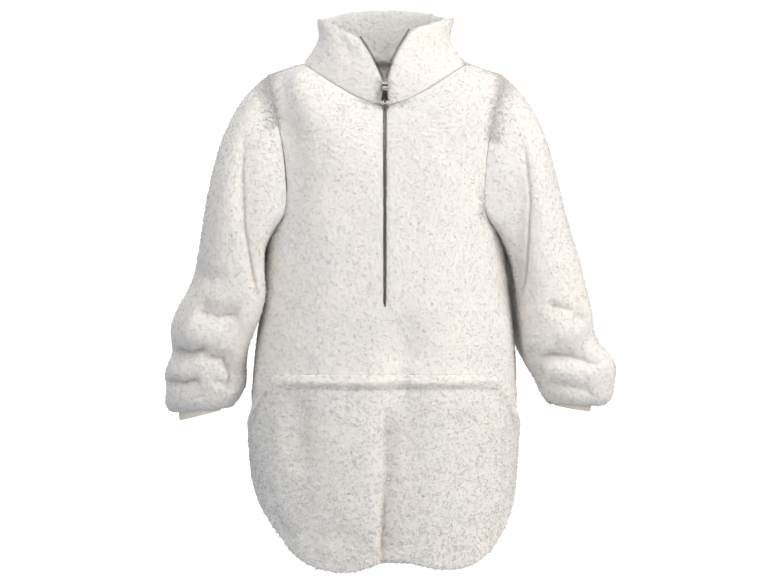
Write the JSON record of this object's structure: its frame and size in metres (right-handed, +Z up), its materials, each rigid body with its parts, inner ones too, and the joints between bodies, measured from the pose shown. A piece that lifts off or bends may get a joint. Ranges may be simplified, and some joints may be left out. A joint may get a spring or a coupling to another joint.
{
  "type": "half-zip pullover",
  "caption": "Long pile pullover with a stand collar, front zip, wide lower pocket, bunched sleeves on rib cuffs and a shirt-tail hem, filled out as worn.",
  "frame": {"origin": "middle of the neck's base, between the points where the shoulder seams meet the collar", "axes": "+X to the wearer's left, -Y to the front, +Z up"},
  "size_m": [0.726, 0.2859, 0.916],
  "materials": {
    "pile": "deep curly pile, cream",
    "rib": "smooth rib knit, ivory",
    "zip_metal": "antique silver",
    "zip_tape": "woven"
  },
  "bodies": {
    "garment": {"front": "pile", "back": "pile", "sleeve_left": "pile", "sleeve_right": "pile", "collar": "pile", "pocket": "pile", "cuff_left": "rib", "cuff_right": "rib", "zip_chain": "zip_metal", "zip_row_left": "zip_metal", "zip_row_right": "zip_metal", "zip_slider": "zip_metal", "zip_bottom_stop": "zip_metal", "zip_tape_left": "zip_tape", "zip_tape_right": "zip_tape"},
    "pull": {"zip_pull": "zip_metal"}
  },
  "joints": [
    {"name": "pull_hinge", "type": "hinge", "parent": "garment", "child": "pull", "pos_m": [0, -0.10727, -0.045], "axis": [-1, 0, 0], "range_deg": [0, 160]}
  ]
}
